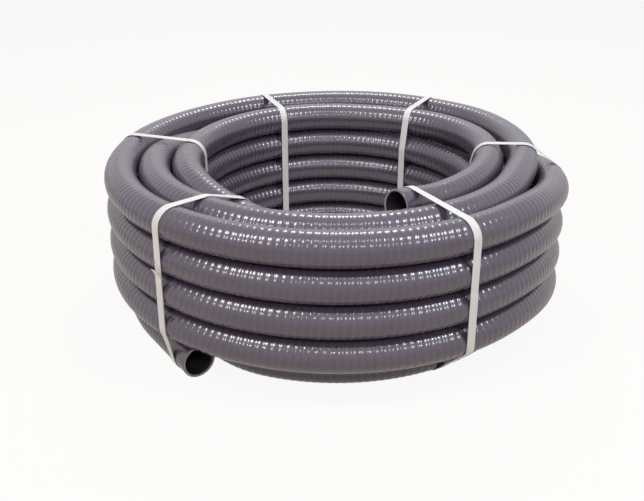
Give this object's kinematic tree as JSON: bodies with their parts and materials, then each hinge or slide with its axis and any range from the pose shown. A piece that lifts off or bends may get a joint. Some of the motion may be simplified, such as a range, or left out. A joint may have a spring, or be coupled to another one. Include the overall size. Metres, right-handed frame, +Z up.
{
  "type": "sewer hose coil",
  "caption": "Coil of spiral-reinforced flexible waste hose with two plain cut ends, wound in three columns and tied with flat straps.",
  "frame": {"origin": "middle of the coil's outline on the floor it lies on, at the underside of the straps", "axes": "+Z up along the axis of the coil, -Y to the front with the lower cut end at the front left, +X to the right"},
  "size_m": [0.7496, 0.7332, 0.2634],
  "materials": {
    "hose": "grey flexible PVC, glossy, with a rigid spiral of the same colour",
    "strap": "white embossed polypropylene strapping, satin"
  },
  "bodies": {
    "root": {"hose_coil": "hose", "hose_upper_end": "hose", "hose_lower_end": "hose", "strap_front_left": "strap", "strap_front_right": "strap", "strap_right": "strap", "strap_back_right": "strap", "strap_back_left": "strap", "strap_left": "strap"}
  },
  "joints": []
}
